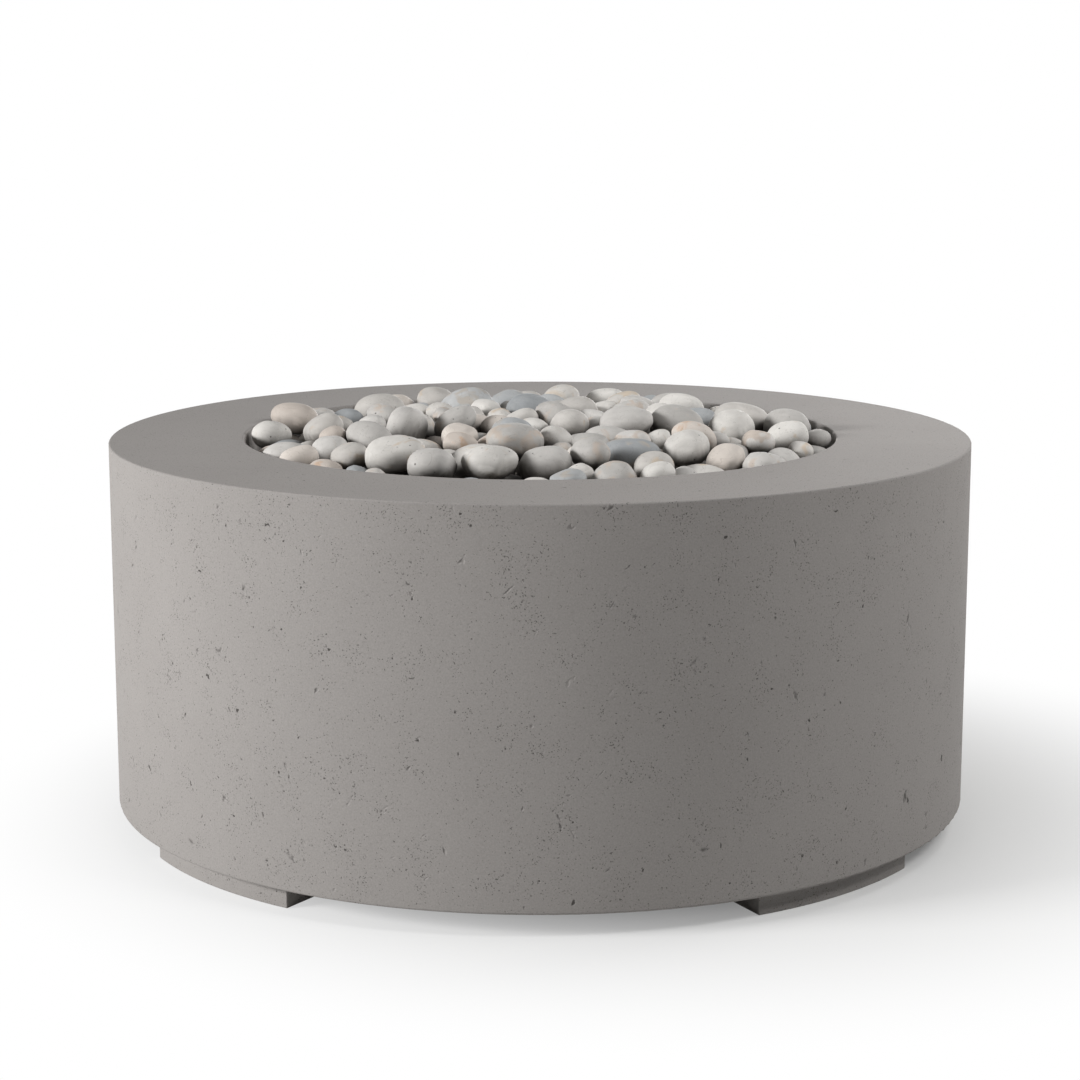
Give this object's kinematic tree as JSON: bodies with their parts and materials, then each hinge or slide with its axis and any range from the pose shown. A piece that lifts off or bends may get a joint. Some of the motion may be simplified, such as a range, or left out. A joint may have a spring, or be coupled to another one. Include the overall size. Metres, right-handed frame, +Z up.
{
  "type": "fire bowl",
  "caption": "Round cast concrete gas fire bowl on arc feet, with a ring burner under a heap of river stones in its top.",
  "frame": {"origin": "centre of the drum's axis on the floor that the feet stand on", "axes": "+Z up along the drum's axis, front towards -Y"},
  "size_m": [1.067, 1.0666, 0.516],
  "materials": {
    "concrete": "cast concrete, matte, with small air holes",
    "stone_cream": "tumbled river stone, matte",
    "stone_pale_grey": "tumbled river stone, matte",
    "stone_blue_grey": "tumbled river stone, matte",
    "stone_tan": "tumbled river stone, matte",
    "stainless_sheet": "brushed stainless sheet",
    "stainless_tube": "mill-finish stainless tube",
    "stainless_fastener": "plain stainless screw",
    "zinc_sleeve": "zinc-plated sleeve",
    "galvanised_pipe": "galvanised malleable iron",
    "brass": "machined brass",
    "chrome_ball": "plated ball",
    "ptfe": "white moulded ring",
    "yellow_grip": "dipped vinyl"
  },
  "bodies": {
    "bowl": {"concrete_drum": "concrete", "foot_front_left": "concrete", "foot_front_right": "concrete", "foot_rear_left": "concrete", "foot_rear_right": "concrete", "foot_screws": "stainless_fastener", "foot_sleeves": "zinc_sleeve", "burner_pan": "stainless_sheet", "burner_outer_ring": "stainless_tube", "burner_inner_ring": "stainless_tube", "burner_cross_tubes": "stainless_tube", "burner_hub": "stainless_tube", "burner_saddles": "stainless_sheet", "saddle_screws": "stainless_fastener", "burner_nipple": "galvanised_pipe", "pan_lock_nut": "galvanised_pipe", "air_mixer": "brass", "gas_injector": "brass", "union_tail": "galvanised_pipe", "union_seat": "galvanised_pipe", "union_nut": "galvanised_pipe", "valve_body": "brass", "valve_seats": "ptfe", "valve_adapter": "brass", "packing_nut": "brass", "inlet_nipple": "brass", "stones_cream": "stone_cream", "stones_pale_grey": "stone_pale_grey", "stones_blue_grey": "stone_blue_grey", "stones_tan": "stone_tan"},
    "shutoff_lever": {"valve_ball": "chrome_ball", "valve_stem": "brass", "valve_lever": "stainless_sheet", "lever_grip": "yellow_grip", "lever_nut": "stainless_fastener"}
  },
  "joints": [
    {"name": "shutoff_turn", "type": "hinge", "parent": "bowl", "child": "shutoff_lever", "pos_m": [0, 0, 0.2493], "axis": [0, -1, 0], "range_deg": [0, 90]}
  ]
}
